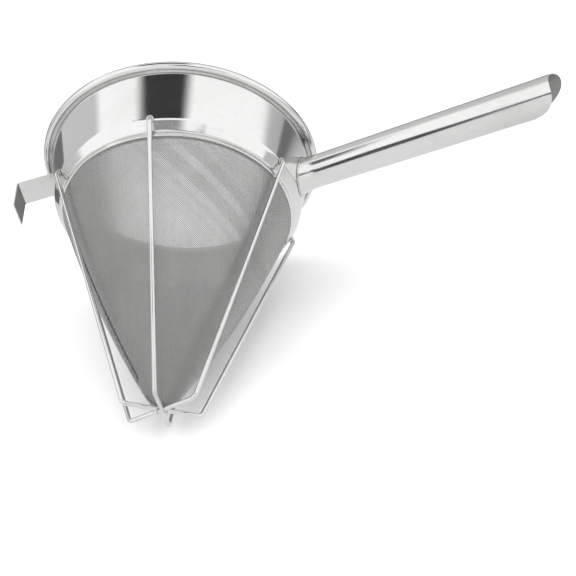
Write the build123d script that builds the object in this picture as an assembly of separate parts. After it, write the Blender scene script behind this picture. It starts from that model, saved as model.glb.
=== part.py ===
"""Fine mesh chinois strainer in stainless steel, in millimetres.

The cone's axis is +Z, with the mouth at the top and the tip of the cage at the origin. The handle
leaves the rim along +X and rises outwards, and the pot hook is on the far side of the rim.
"""

from build123d import *
import math
import os

# Rim band: a spun sheet with a rolled bead at the mouth and a shoulder at the foot
RIM_DIAMETER = 204.0
BEAD_DIAMETER = 6.0
BEAD_HEIGHT = 223.6
BAND_SHEET = 0.8
WALL_HEIGHT = 42.6
WALL_TAPER = 7.2
SHOULDER_WIDTH = 4.4
SHOULDER_DEPTH = 6.8
SHOULDER_TOP_BEND = 6.0
SHOULDER_FOOT_BEND = 2.0
COLLAR_STEP = 3.6
COLLAR_DEPTH = 3.2

# Woven mesh cone, its lap seam and the ring that clamps its hem
MESH_THICKNESS = 0.6
MESH_HEM_HEIGHT = 3.2
WAIST_RADIUS_SHARE = 0.5825
WAIST_HEIGHT_SHARE = 0.494
MESH_LOW_RADIUS = 11.1
MESH_LOW_HEIGHT = 11.0
MESH_TIP_RADIUS = 13.2
SEAM_WIDTH = 7.0
SEAM_THICKNESS = 0.5
SEAM_AZIMUTH = -159.0
SEAM_TOP_GAP = 4.0
SEAM_FOOT_HEIGHT = 22.0
RING_WIDTH = 1.6
RING_HEIGHT = 3.0
RING_EDGE = 0.5

# Guard cage: three wires, each bent to a U, that cross under the tip of the cone
WIRE_DIAMETER = 3.2
WIRE_AZIMUTHS = {"front_back": -89.6, "right_front": -22.0, "left_front": -153.0}
LEG_NAMES = {
    "front_back": ("front", "back"),
    "right_front": ("right_front", "left_back"),
    "left_front": ("left_front", "right_back"),
}
LEG_TWISTS = {
    "front": 1.2,
    "back": 0,
    "right_front": 0,
    "left_back": 0,
    "left_front": 6.6,
    "right_back": 6.6,
}
FOOT_RADII = {"front_back": 19.6, "right_front": 26.3, "left_front": 26.3}
FOOT_BEND = 4.0
TOP_BEND = 2.2
TOP_STANDOFF = 2.6
HOLE_DIAMETER = 4.2
WIRE_END_LENGTH = 1.6
LAP_RADIUS = 3.9
STAR_WELD_RADIUS = 2.2
STAR_WELD_HEIGHT = 0.8
END_WELD_WIDTH = 1.1
END_WELD_HEIGHT = 0.7

# Handle: a tapered tube that rises from under the bead, with a slanted round open end
HANDLE_STANDOFF = 1.2
HANDLE_ROOT_DROP = 23.4
HANDLE_RISE = 15.7
HANDLE_ROOT_DIAMETER = 23.8
HANDLE_END_DIAMETER = 29.2
HANDLE_LENGTH = 195.0
HANDLE_WALL = 1.0
NOSE_SETBACK = 28.8
NOSE_RADIUS = 16.0
NOSE_TILT = -30.3
NOSE_ROLL = -118.3
NOSE_OFFSET = 4.1

# Neck between the band and the handle, and its weld
NECK_SHEET = 1.0
NECK_STRAIGHT = 2.5
NECK_CURVE = 6.0
NECK_FLARE = 0.5
NECK_TRIM = 9.2
NECK_FOOT_FLARE = 1.8
WELD_WIDTH = 0.8
WELD_HEIGHT = 0.8

# Pot hook: a bent strip with a tab on the band's wall
HOOK_AZIMUTH = 183.3
HOOK_WIDTH = 22.3
HOOK_SHEET = 1.0
HOOK_ROOT_DROP = 9.4
HOOK_REACH = 25.0
HOOK_FALL = 7.2
HOOK_LIP = 21.0
HOOK_TAB = 11.0
HOOK_BEND = 1.0
SPOT_RADIUS = 2.0
SPOT_HEIGHT = 0.4
SPOT_SPACING = 10.0

# Clearances between separate pieces, and the overrun of every cutting tool
GAP = 0.2
SKIN_GAP = 0.1
OVERRUN = 40.0

bead_radius = BEAD_DIAMETER / 2
bead_centre_radius = RIM_DIAMETER / 2 - bead_radius
wall_top_radius = bead_centre_radius - bead_radius + BAND_SHEET
wall_foot_radius = wall_top_radius - WALL_TAPER
wall_foot_height = BEAD_HEIGHT - WALL_HEIGHT
wall_slope = WALL_TAPER / WALL_HEIGHT
shoulder_foot_radius = wall_foot_radius - SHOULDER_WIDTH
shoulder_foot_height = wall_foot_height - SHOULDER_DEPTH
flange_under = shoulder_foot_height - BAND_SHEET
collar_radius = shoulder_foot_radius - COLLAR_STEP
hem_inner_radius = collar_radius + GAP
hem_outer_radius = hem_inner_radius + MESH_THICKNESS
hem_top = flange_under - GAP
hem_foot = hem_top - MESH_HEM_HEIGHT
seam_top_height = hem_foot - SEAM_TOP_GAP
wire_radius = WIRE_DIAMETER / 2
handle_root_radius = RIM_DIAMETER / 2 + HANDLE_STANDOFF
handle_root_height = BEAD_HEIGHT - HANDLE_ROOT_DROP


def wall_radius_at(height):
    """Radius of the wall's outer face at a height."""
    return wall_foot_radius + (height - wall_foot_height) * wall_slope


def revolved(profile_edges):
    """Solid of revolution about Z from the edges of a closed profile in the XZ plane."""
    return revolve(make_face(profile_edges), Axis.Z, 360)


def closed_path(points):
    """Edges of a closed polygon in the XZ plane, from (radius, height) points."""
    return Polyline(*[(r, 0, z) for r, z in points], close=True)


def band_outline(grow):
    """Solid filled out to the band's wall and shoulder, grown outwards by a distance."""
    return revolved(
        closed_path(
            [
                (0, shoulder_foot_height - grow),
                (shoulder_foot_radius + grow, shoulder_foot_height - grow),
                (wall_foot_radius + grow, wall_foot_height),
                (wall_top_radius + grow, BEAD_HEIGHT),
                (0, BEAD_HEIGHT),
            ]
        )
    )


def bead_solid(grow):
    """Ring of the rolled bead, grown by a distance."""
    return Pos(0, 0, BEAD_HEIGHT) * Torus(bead_centre_radius, bead_radius + grow)


def bend_corner(profile, corner, radius):
    """Rounds the corner of a flat profile that lies nearest to a point."""
    nearest = profile.vertices().sort_by_distance(Vector(*corner))[:1]
    return fillet(nearest, radius)


def make_rim_band():
    """Spun band: rolled hollow bead, tapered wall, rounded shoulder with six holes, and collar."""
    sheet = BAND_SHEET
    outer_foot_radius = shoulder_foot_radius - sheet * SHOULDER_WIDTH / SHOULDER_DEPTH
    skirt = [
        (wall_top_radius, BEAD_HEIGHT),
        (wall_foot_radius, wall_foot_height),
        (outer_foot_radius, flange_under),
        (collar_radius, flange_under),
        (collar_radius, flange_under - COLLAR_DEPTH),
        (collar_radius - sheet, flange_under - COLLAR_DEPTH),
        (collar_radius - sheet, shoulder_foot_height),
        (shoulder_foot_radius - sheet, shoulder_foot_height),
        (wall_foot_radius - sheet, wall_foot_height),
        (wall_top_radius - sheet, BEAD_HEIGHT),
    ]
    section = make_face(Polyline(*skirt, close=True))
    bends = [
        ((wall_foot_radius, wall_foot_height), SHOULDER_TOP_BEND),
        ((wall_foot_radius - sheet, wall_foot_height), SHOULDER_TOP_BEND - sheet),
        ((outer_foot_radius, flange_under), SHOULDER_FOOT_BEND),
        ((shoulder_foot_radius - sheet, shoulder_foot_height), SHOULDER_FOOT_BEND - sheet),
    ]
    for corner, radius in bends:
        section = bend_corner(section, corner, radius)
    bead_place = Pos(bead_centre_radius, BEAD_HEIGHT)
    profile = bead_place * Circle(bead_radius) + section
    profile -= bead_place * Circle(bead_radius - sheet)
    band = revolve(Plane.XZ * profile, Axis.Z, 360)
    for wire, leg in wires_and_legs():
        band -= hole_plane(leg_azimuth(wire, leg)) * Cylinder(HOLE_DIAMETER / 2, WIRE_DIAMETER * 2)
    return band


def make_rim_wire():
    """Stiffening wire that the bead is rolled over."""
    return Pos(0, 0, BEAD_HEIGHT) * Torus(bead_centre_radius, bead_radius - BAND_SHEET - GAP)


def side_circle():
    """Centre (radius, height) and radius of the circle that the cone's side follows."""
    ax, ay = hem_outer_radius, hem_foot
    bx, by = hem_outer_radius * WAIST_RADIUS_SHARE, hem_foot * WAIST_HEIGHT_SHARE
    cx, cy = MESH_LOW_RADIUS, MESH_LOW_HEIGHT
    det = 2 * (ax * (by - cy) + bx * (cy - ay) + cx * (ay - by))
    a2, b2, c2 = ax * ax + ay * ay, bx * bx + by * by, cx * cx + cy * cy
    x = (a2 * (by - cy) + b2 * (cy - ay) + c2 * (ay - by)) / det
    y = (a2 * (cx - bx) + b2 * (ax - cx) + c2 * (bx - ax)) / det
    return x, y, math.hypot(ax - x, ay - y)


def cone_solid(grow, top):
    """Solid filled out to the cone's outer face up to a height, grown by a distance."""
    x, y, big = side_circle()
    # The tip's ball touches the side's circle from within, on the line through both centres
    reach = big - MESH_TIP_RADIUS
    tip_height = y - math.sqrt(reach**2 - x**2)
    tip, side = MESH_TIP_RADIUS + grow, big + grow
    touch = (x - x / reach * side, y + (tip_height - y) / reach * side)
    low_angle = math.atan2(touch[1] - y, touch[0] - x)
    top_angle = math.asin((top - y) / side)
    middle_angle = (low_angle + top_angle) / 2
    ball_angle = (math.atan2(touch[1] - tip_height, touch[0]) - math.pi / 2) / 2
    foot_point = (0, tip_height - tip)
    ball_point = (tip * math.cos(ball_angle), tip_height + tip * math.sin(ball_angle))
    middle_point = (x + side * math.cos(middle_angle), y + side * math.sin(middle_angle))
    top_point = (x + side * math.cos(top_angle), top)
    return revolved(
        [
            ThreePointArc(*[(r, 0, z) for r, z in (foot_point, ball_point, touch)]),
            ThreePointArc(*[(r, 0, z) for r, z in (touch, middle_point, top_point)]),
            Polyline(*[(r, 0, z) for r, z in (top_point, (0, top), foot_point)]),
        ]
    )


def make_mesh_cone():
    """Conical strainer cloth with a rounded tip, and a hem that stands up round the collar."""
    cone = cone_solid(0, hem_foot) - cone_solid(-MESH_THICKNESS, hem_foot)
    hem_height = hem_top - hem_foot
    low = (Align.CENTER, Align.CENTER, Align.MIN)
    hem = Cylinder(hem_outer_radius, hem_height, align=low)
    hem -= Cylinder(hem_inner_radius, hem_height, align=low)
    return cone + Pos(0, 0, hem_foot) * hem


def make_mesh_seam():
    """Lap where the two edges of the rolled cloth overlap, a strip down one side of the cone."""
    shell = cone_solid(SKIN_GAP + SEAM_THICKNESS, seam_top_height)
    shell -= cone_solid(SKIN_GAP, seam_top_height)
    reach = hem_outer_radius + OVERRUN
    height = seam_top_height - SEAM_FOOT_HEIGHT
    strip = Box(reach, SEAM_WIDTH, height, align=(Align.MIN, Align.CENTER, Align.MIN))
    return shell & Rot(0, 0, SEAM_AZIMUTH) * Pos(0, 0, SEAM_FOOT_HEIGHT) * strip


def make_clamp_ring():
    """Ring round the hem that clamps the cloth to the band's collar."""
    inner = hem_outer_radius + GAP
    outer = inner + RING_WIDTH
    ring = Cylinder(outer, RING_HEIGHT) - Cylinder(inner, RING_HEIGHT)
    rims = ring.edges().filter_by(GeomType.CIRCLE).filter_by(lambda e: e.radius > inner + GAP)
    ring = fillet(rims, RING_EDGE)
    return Pos(0, 0, hem_top - RING_HEIGHT / 2) * ring


def leg_azimuth(wire, leg):
    """Azimuth of the hole that one leg of a wire ends in, a little off the wire's own plane."""
    half_turn = 180 * LEG_NAMES[wire].index(leg)
    return WIRE_AZIMUTHS[wire] + half_turn + LEG_TWISTS[leg]


def wires_and_legs():
    """Every wire with each of its two legs, by name."""
    return [(wire, leg) for wire, legs in LEG_NAMES.items() for leg in legs]


def hole_frame():
    """Point on the rounded corner of the wall and the shoulder, and the outward normal there."""
    wall_lean, shoulder_lean = math.atan(wall_slope), math.atan(SHOULDER_WIDTH / SHOULDER_DEPTH)
    lean = (wall_lean + shoulder_lean) / 2
    half_turn = (shoulder_lean - wall_lean) / 2
    inset = SHOULDER_TOP_BEND * (1 / math.cos(half_turn) - 1)
    nr, nz = math.cos(lean), -math.sin(lean)
    return (wall_foot_radius - inset * nr, wall_foot_height - inset * nz), (nr, nz)


def hole_plane(azimuth):
    """Plane at one of the holes for the legs, with its Z along the band's outward normal."""
    (radius, height), (nr, nz) = hole_frame()
    c, s = math.cos(math.radians(azimuth)), math.sin(math.radians(azimuth))
    return Plane(origin=(radius * c, radius * s, height), x_dir=(-s, c, 0), z_dir=(nr * c, nr * s, nz))


def lap_slab(level):
    """Part of the crossing that two of the wires give up, for the wire that lies at a level."""
    third = WIRE_DIAMETER / 3
    low = third * level
    post = Cylinder(LAP_RADIUS, WIRE_DIAMETER * 2, align=(Align.CENTER, Align.CENTER, Align.CENTER))
    keep = Pos(0, 0, low + third / 2) * Cylinder(LAP_RADIUS + wire_radius, third)
    return Pos(0, 0, wire_radius) * post - keep


def polar(azimuth, radius, height):
    """Point at an azimuth in degrees, a radius and a height."""
    turn = math.radians(azimuth)
    return (radius * math.cos(turn), radius * math.sin(turn), height)


def wire_body(name, grow):
    """One U of the cage, from hole to hole, with its section grown by a distance."""
    (radius, height), (nr, nz) = hole_frame()
    first, second = LEG_NAMES[name]
    points = []
    for leg, half_turn in ((first, 0), (second, 180)):
        azimuth = leg_azimuth(name, leg)
        end = polar(azimuth, radius - nr * WIRE_END_LENGTH, height - nz * WIRE_END_LENGTH)
        knee = polar(azimuth, radius + nr * TOP_STANDOFF, height + nz * TOP_STANDOFF)
        foot = polar(WIRE_AZIMUTHS[name] + half_turn, FOOT_RADII[name], wire_radius)
        points.append([end, knee, foot])
    path = FilletPolyline(
        *points[0],
        *reversed(points[1]),
        radius=[TOP_BEND, FOOT_BEND, FOOT_BEND, TOP_BEND],
    )
    section = Plane(origin=path @ 0, z_dir=path % 0) * Circle(wire_radius + grow)
    return sweep(section, path=path)


def make_guard_wire(name, level):
    """One wire of the cage, thinned under the tip where it is let into the other two."""
    return wire_body(name, 0) - lap_slab(level)


def make_star_weld():
    """Weld nugget on the inside of the crossing, under the tip of the cone."""
    nugget = Cylinder(STAR_WELD_RADIUS, STAR_WELD_HEIGHT, align=(Align.CENTER, Align.CENTER, Align.MIN))
    top = nugget.edges().sort_by(Axis.Z)[-1:]
    nugget = fillet(top, STAR_WELD_HEIGHT / 2)
    return Pos(0, 0, WIRE_DIAMETER + SKIN_GAP) * nugget


def make_leg_weld(wire, leg):
    """Ring of weld round one leg, where its bent end enters the band."""
    inner = wire_radius + SKIN_GAP
    outer = inner + END_WELD_WIDTH
    low = (Align.CENTER, Align.CENTER, Align.MIN)
    ring = Cylinder(outer, END_WELD_HEIGHT, align=low) - Cylinder(inner, END_WELD_HEIGHT, align=low)
    return hole_plane(leg_azimuth(wire, leg)) * Pos(0, 0, GAP) * ring - wire_body(wire, SKIN_GAP)


def handle_plane():
    """Plane at the root of the handle, with its Z along the handle and its X upwards."""
    rise = math.radians(HANDLE_RISE)
    return Plane(
        origin=(handle_root_radius, 0, handle_root_height),
        x_dir=(-math.sin(rise), 0, math.cos(rise)),
        z_dir=(math.cos(rise), 0, math.sin(rise)),
    )


def nose_cutter():
    """What the slanted end cut removes: all beyond a round nose set askew to the handle."""
    roll, tilt = math.radians(NOSE_ROLL), math.radians(NOSE_TILT)
    across = Vector(math.cos(roll), math.sin(roll), 0)
    side = Vector(-math.sin(roll), math.cos(roll), 0)
    along = side * math.cos(tilt) - Vector(0, 0, math.sin(tilt))
    outwards = Vector(0, 0, math.cos(tilt)) + side * math.sin(tilt)
    start = HANDLE_LENGTH - NOSE_SETBACK
    frame = Plane(origin=Vector(0, 0, start) - across * NOSE_OFFSET, x_dir=outwards, z_dir=along)
    size = OVERRUN * 2
    block = Box(size, size, size * 2, align=(Align.MIN, Align.CENTER, Align.CENTER))
    return frame * (block - Cylinder(NOSE_RADIUS, size * 2))


def make_handle_tube():
    """Tapered hollow handle with a slanted, rounded open end."""
    low = (Align.CENTER, Align.CENTER, Align.MIN)
    root, end = HANDLE_ROOT_DIAMETER / 2, HANDLE_END_DIAMETER / 2
    outer = Cone(root, end, HANDLE_LENGTH, align=low)
    inner = Cone(root - HANDLE_WALL, end - HANDLE_WALL, HANDLE_LENGTH, align=low)
    return handle_plane() * (outer - inner - nose_cutter())


def neck_length():
    """Length of the neck's form along the handle, which runs on inside the wall until trimmed."""
    reach = handle_root_radius - wall_radius_at(handle_root_height)
    return reach / math.cos(math.radians(HANDLE_RISE)) + NECK_TRIM


def neck_solid(grow):
    """Solid filled out to the neck's outer face, grown by a distance, up to the handle's root."""
    length = neck_length()
    root = HANDLE_ROOT_DIAMETER / 2 + grow
    start, bend = -NECK_STRAIGHT, -NECK_STRAIGHT - NECK_CURVE
    foot_direction = (NECK_FOOT_FLARE - NECK_FLARE, 0, -length - bend)
    edges = [
        Polyline((0, 0, -length), (0, 0, 0), (root, 0, 0), (root, 0, start)),
        Spline(
            (root, 0, start),
            (root + NECK_FLARE, 0, bend),
            (root + NECK_FOOT_FLARE, 0, -length),
            tangents=[(0, 0, -1), foot_direction],
        ),
        Line((root + NECK_FOOT_FLARE, 0, -length), (0, 0, -length)),
    ]
    return handle_plane() * revolved(edges)


def band_clearance(grow):
    """Everything inside the band's outer face, its bead included, grown by a gap."""
    return band_outline(grow) + bead_solid(grow)


def make_handle_neck():
    """Flared socket that joins the handle to the band's wall, tucked under the bead."""
    neck = neck_solid(0) - neck_solid(-NECK_SHEET)
    return neck - band_clearance(GAP)


def make_handle_weld():
    """Fillet of weld round the foot of the neck, on the band's wall."""
    fillet_ring = neck_solid(SKIN_GAP + WELD_WIDTH) - neck_solid(SKIN_GAP)
    layer = band_outline(GAP + WELD_HEIGHT) - band_outline(GAP)
    return (fillet_ring & layer) - bead_solid(GAP)


def hook_plane():
    """Plane of the hook's side outline: X outwards along the hook's azimuth, Y upwards."""
    a = math.radians(HOOK_AZIMUTH)
    return Plane(origin=(0, 0, 0), x_dir=(math.cos(a), math.sin(a), 0), z_dir=(math.sin(a), -math.cos(a), 0))


def hook_levels():
    """Radius and height of the strip's underside at the wall, and at its outer bend."""
    root_height = BEAD_HEIGHT - HOOK_ROOT_DROP
    root_radius = wall_radius_at(root_height) + GAP
    return (root_radius, root_height), (root_radius + HOOK_REACH, root_height - HOOK_FALL)


def make_pot_hook():
    """Bent strip that hangs on a pot's rim: tab on the wall, sloping strip and lip."""
    (root_radius, root_height), (bend_radius, bend_height) = hook_levels()
    slope = HOOK_FALL / HOOK_REACH
    rise = HOOK_SHEET * math.hypot(1, slope)
    outline = Polyline(
        (root_radius, root_height),
        (bend_radius, bend_height),
        (bend_radius, bend_height - HOOK_LIP),
        (bend_radius + HOOK_SHEET, bend_height - HOOK_LIP),
        (bend_radius + HOOK_SHEET, bend_height + rise - HOOK_SHEET * slope),
        (root_radius, root_height + rise),
        close=True,
    )
    strip = extrude(hook_plane() * make_face(outline), HOOK_WIDTH / 2, both=True)
    across = strip.edges().filter_by(lambda e: abs(e.length - HOOK_WIDTH) < GAP)
    strip = fillet(across.filter_by(is_outer_bend), HOOK_BEND)
    tab_shell = band_outline(GAP + HOOK_SHEET) - band_outline(GAP)
    tab_box = Box(OVERRUN * 2, HOOK_WIDTH, HOOK_TAB, align=(Align.MIN, Align.CENTER, Align.MAX))
    tab_box = Rot(0, 0, HOOK_AZIMUTH) * Pos(OVERRUN, 0, root_height + rise / 2) * tab_box
    return strip - band_clearance(GAP) + (tab_shell & tab_box)


def is_outer_bend(edge):
    """True for the two edges at the hook's bend."""
    bend_radius, bend_height = hook_levels()[1]
    middle = edge.center()
    near_height = abs(middle.Z - bend_height) < HOOK_SHEET * 2
    return near_height and math.hypot(middle.X, middle.Y) > bend_radius - HOOK_SHEET


def make_hook_spot_weld(side):
    """One of the spot welds that hold the hook's tab to the wall, on one side of its middle."""
    height = hook_levels()[0][1] - HOOK_TAB / 2
    radius = wall_radius_at(height) + GAP + HOOK_SHEET + SKIN_GAP
    lean = math.degrees(math.atan(wall_slope))
    turn = math.degrees(SPOT_SPACING / 2 / radius) * side
    spot = Cylinder(SPOT_RADIUS, SPOT_HEIGHT, align=(Align.CENTER, Align.CENTER, Align.MIN))
    spot = fillet(spot.edges().sort_by(Axis.Z)[-1:], SPOT_HEIGHT / 2)
    return Rot(0, 0, HOOK_AZIMUTH + turn) * Pos(radius, 0, height) * Rot(0, 90 + lean, 0) * spot


def main():
    """Build every piece and write it to its own file."""
    os.makedirs("parts", exist_ok=True)
    pieces = {
        "rim_band": make_rim_band(),
        "rim_wire": make_rim_wire(),
        "mesh_clamp_ring": make_clamp_ring(),
        "mesh_cone": make_mesh_cone(),
        "mesh_seam": make_mesh_seam(),
        "star_weld": make_star_weld(),
        "handle_tube": make_handle_tube(),
        "handle_neck": make_handle_neck(),
        "handle_weld": make_handle_weld(),
        "pot_hook": make_pot_hook(),
        "hook_spot_weld_back": make_hook_spot_weld(-1),
        "hook_spot_weld_front": make_hook_spot_weld(1),
    }
    for level, name in enumerate(WIRE_AZIMUTHS):
        pieces["guard_wire_" + name] = make_guard_wire(name, level)
    for wire, leg in wires_and_legs():
        pieces["leg_weld_" + leg] = make_leg_weld(wire, leg)
    for name, shape in pieces.items():
        export_step(shape, f"parts/{name}.step")
        print(name, "volume", round(shape.volume, 2))


main()
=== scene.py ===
"""Dresses the chinois strainer: woven cloth, steel finishes, floor, lights and camera.

The frame's own axes are kept: the cone stands on its tip along +Z, the handle leaves the rim
along +X, and the front leg of the cage is at -Y. The strainer lies on its back leg and on the
far side of its rim, so the floor is a leaning plane here. Lengths are metres, made from
millimetres by MM.
"""

import logging
import math
from dataclasses import dataclass, field
from enum import Enum
from typing import Iterator, TypeAlias

import bpy
import bmesh
from mathutils import Matrix, Vector


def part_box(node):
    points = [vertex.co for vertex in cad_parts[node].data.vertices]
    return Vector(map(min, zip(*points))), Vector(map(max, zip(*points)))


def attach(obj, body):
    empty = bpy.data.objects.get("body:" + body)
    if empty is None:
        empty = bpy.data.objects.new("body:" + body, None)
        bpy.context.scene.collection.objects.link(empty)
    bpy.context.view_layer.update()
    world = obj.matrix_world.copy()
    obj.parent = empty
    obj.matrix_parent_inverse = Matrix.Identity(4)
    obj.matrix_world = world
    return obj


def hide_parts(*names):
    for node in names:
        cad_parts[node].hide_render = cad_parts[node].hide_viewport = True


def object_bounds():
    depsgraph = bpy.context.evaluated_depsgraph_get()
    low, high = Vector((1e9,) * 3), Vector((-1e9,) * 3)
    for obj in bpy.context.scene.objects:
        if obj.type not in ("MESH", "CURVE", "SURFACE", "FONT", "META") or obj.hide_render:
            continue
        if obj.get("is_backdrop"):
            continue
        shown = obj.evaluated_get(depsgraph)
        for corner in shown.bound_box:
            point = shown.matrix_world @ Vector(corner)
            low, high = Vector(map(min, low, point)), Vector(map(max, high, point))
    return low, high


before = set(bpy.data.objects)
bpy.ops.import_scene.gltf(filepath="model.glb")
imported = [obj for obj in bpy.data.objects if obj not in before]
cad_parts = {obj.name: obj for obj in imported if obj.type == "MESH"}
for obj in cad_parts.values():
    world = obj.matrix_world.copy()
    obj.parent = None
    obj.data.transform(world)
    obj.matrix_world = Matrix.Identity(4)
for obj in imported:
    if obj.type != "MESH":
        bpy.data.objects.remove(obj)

MM = 0.001
HANDLE_RISE = math.radians(15.7)
ORIGIN = (0.0, 0.0, 0.0)
UPWARDS = (0.0, 0.0, 1.0)
WHOLE_REACH = 1.0
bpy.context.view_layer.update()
log = logging.getLogger("strainer")

Socket: TypeAlias = bpy.types.NodeSocket
Triple: TypeAlias = tuple[float, float, float]


class Slot(Enum):
    """The record's material slot name for the cloth made here, which nothing in this script uses.
    """

    CLOTH = "woven_cloth"


class Marks(Enum):
    """Which way the polishing marks run on a finish."""

    ROUND_AXIS = "round the cone's axis"
    ALONG_HANDLE = "along the handle"
    EVERY_WAY = "in no direction"


@dataclass(frozen=True)
class ShadedInnerSide:
    """The inner face of a tube, a band or the hook, with painted shade as a darker tint and a
    rougher finish: its axis, its reach and its look.

    A face counts as inner where it looks towards the axis, by the cosine inwards or less.
    """

    root: Triple
    axis: Triple
    reach: float
    # Painted shade: the inner face's darker tint stands in for the shade inside the hollow
    tint: Triple
    roughness: float
    inwards: float = -0.05


@dataclass(frozen=True)
class SteelFinish:
    """One steel finish: its colour, how sharply it mirrors, and the marks left on it."""

    name: str
    tint: Triple
    worn_tint: Triple
    roughness: float
    worn_roughness: float
    marks: Marks
    mark_scale: float
    mark_height: float
    smudge_scale: float = 22.0
    smudge_share: float = 0.35
    ripple_height: float = 0.0
    ripple_scale: float = 700.0
    # Painted shade on the inner face, with a rougher finish there, when the finish has one
    inner: ShadedInnerSide | None = None


# Painted shade: the band's inner face gets a darker tint for the shade inside the band, and a
# rougher finish
BAND_INSIDE_SHADE = ShadedInnerSide(
    root=ORIGIN,
    axis=UPWARDS,
    reach=221.0 * MM,
    tint=(0.42, 0.42, 0.415),
    roughness=0.38,
)
# Painted shade: the bore of the handle tube gets a darker tint for the shade inside the tube, and
# a rougher finish
HANDLE_BORE_SHADE = ShadedInnerSide(
    root=(103.2 * MM, 0.0, 200.2 * MM),
    axis=(math.cos(HANDLE_RISE), 0.0, math.sin(HANDLE_RISE)),
    reach=WHOLE_REACH,
    tint=(0.34, 0.34, 0.335),
    roughness=0.55,
)
# Painted shade: the inward face of the hook's lip gets a darker tint for its shade, and a rougher
# finish
LIP_INSIDE_SHADE = ShadedInnerSide(
    root=ORIGIN,
    axis=UPWARDS,
    reach=WHOLE_REACH,
    tint=(0.30, 0.30, 0.29),
    roughness=0.45,
    inwards=-0.6,
)
BAND_MIRROR = SteelFinish(
    name="band mirror steel",
    tint=(0.80, 0.80, 0.795),
    worn_tint=(0.70, 0.70, 0.69),
    roughness=0.07,
    worn_roughness=0.20,
    marks=Marks.ROUND_AXIS,
    mark_scale=1500.0,
    mark_height=0.000004,
    inner=BAND_INSIDE_SHADE,
)
RING_STEEL = SteelFinish(
    name="clamp ring steel",
    tint=(0.82, 0.82, 0.81),
    worn_tint=(0.70, 0.69, 0.68),
    roughness=0.12,
    worn_roughness=0.28,
    marks=Marks.ROUND_AXIS,
    mark_scale=2200.0,
    mark_height=0.00001,
)
WIRE_STEEL = SteelFinish(
    name="drawn wire steel",
    tint=(0.76, 0.76, 0.755),
    worn_tint=(0.62, 0.615, 0.605),
    roughness=0.10,
    worn_roughness=0.24,
    marks=Marks.EVERY_WAY,
    mark_scale=500.0,
    mark_height=0.000003,
)
HANDLE_STEEL = SteelFinish(
    name="handle tube steel",
    tint=(0.79, 0.79, 0.785),
    worn_tint=(0.68, 0.68, 0.67),
    roughness=0.11,
    worn_roughness=0.26,
    marks=Marks.ALONG_HANDLE,
    mark_scale=1400.0,
    mark_height=0.000008,
    inner=HANDLE_BORE_SHADE,
)
HOOK_STEEL = SteelFinish(
    name="hook strip steel",
    tint=(0.74, 0.74, 0.735),
    worn_tint=(0.62, 0.615, 0.605),
    roughness=0.22,
    worn_roughness=0.38,
    marks=Marks.EVERY_WAY,
    mark_scale=800.0,
    mark_height=0.00001,
    inner=LIP_INSIDE_SHADE,
)
HIDDEN_STEEL = SteelFinish(
    name="bead wire steel",
    tint=(0.60, 0.60, 0.595),
    worn_tint=(0.48, 0.475, 0.465),
    roughness=0.35,
    worn_roughness=0.5,
    marks=Marks.EVERY_WAY,
    mark_scale=600.0,
    mark_height=0.00001,
)
CLOTH_STEEL = SteelFinish(
    name="woven thread steel",
    tint=(0.56, 0.56, 0.555),
    worn_tint=(0.45, 0.445, 0.44),
    roughness=0.38,
    worn_roughness=0.5,
    marks=Marks.EVERY_WAY,
    mark_scale=900.0,
    mark_height=0.0,
)
WELD_STEEL = SteelFinish(
    name="weld nugget steel",
    tint=(0.68, 0.68, 0.67),
    worn_tint=(0.56, 0.55, 0.53),
    roughness=0.20,
    worn_roughness=0.40,
    marks=Marks.EVERY_WAY,
    mark_scale=500.0,
    mark_height=0.0,
    smudge_scale=160.0,
    smudge_share=0.6,
    ripple_height=0.00012,
)

# Masks: the noise values that become 0 and 1, and how strongly each mask counts
PATCH_SPREAD = (0.42, 0.72)
SPECK_SPREAD = (0.40, 0.75)
SPECK_SHARE = 0.4
SPECK_SCALE_TIMES = 9.0
LINE_TINT_SPREAD = (0.35, 0.75)
LINE_TINT_SHARE = 0.15
LINE_DULL_SPREAD = (0.45, 0.75)
LINE_DULL_SHARE = 0.4
LINE_SQUEEZE = (1.0, 0.02, 0.02)
BROAD_DETAIL = 3.0
FINE_DETAIL = 2.0

# Places of a colour Mix node's sockets
MIX_SHARE, MIX_FIRST, MIX_SECOND, MIX_RESULT = 0, 6, 7, 2


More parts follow.
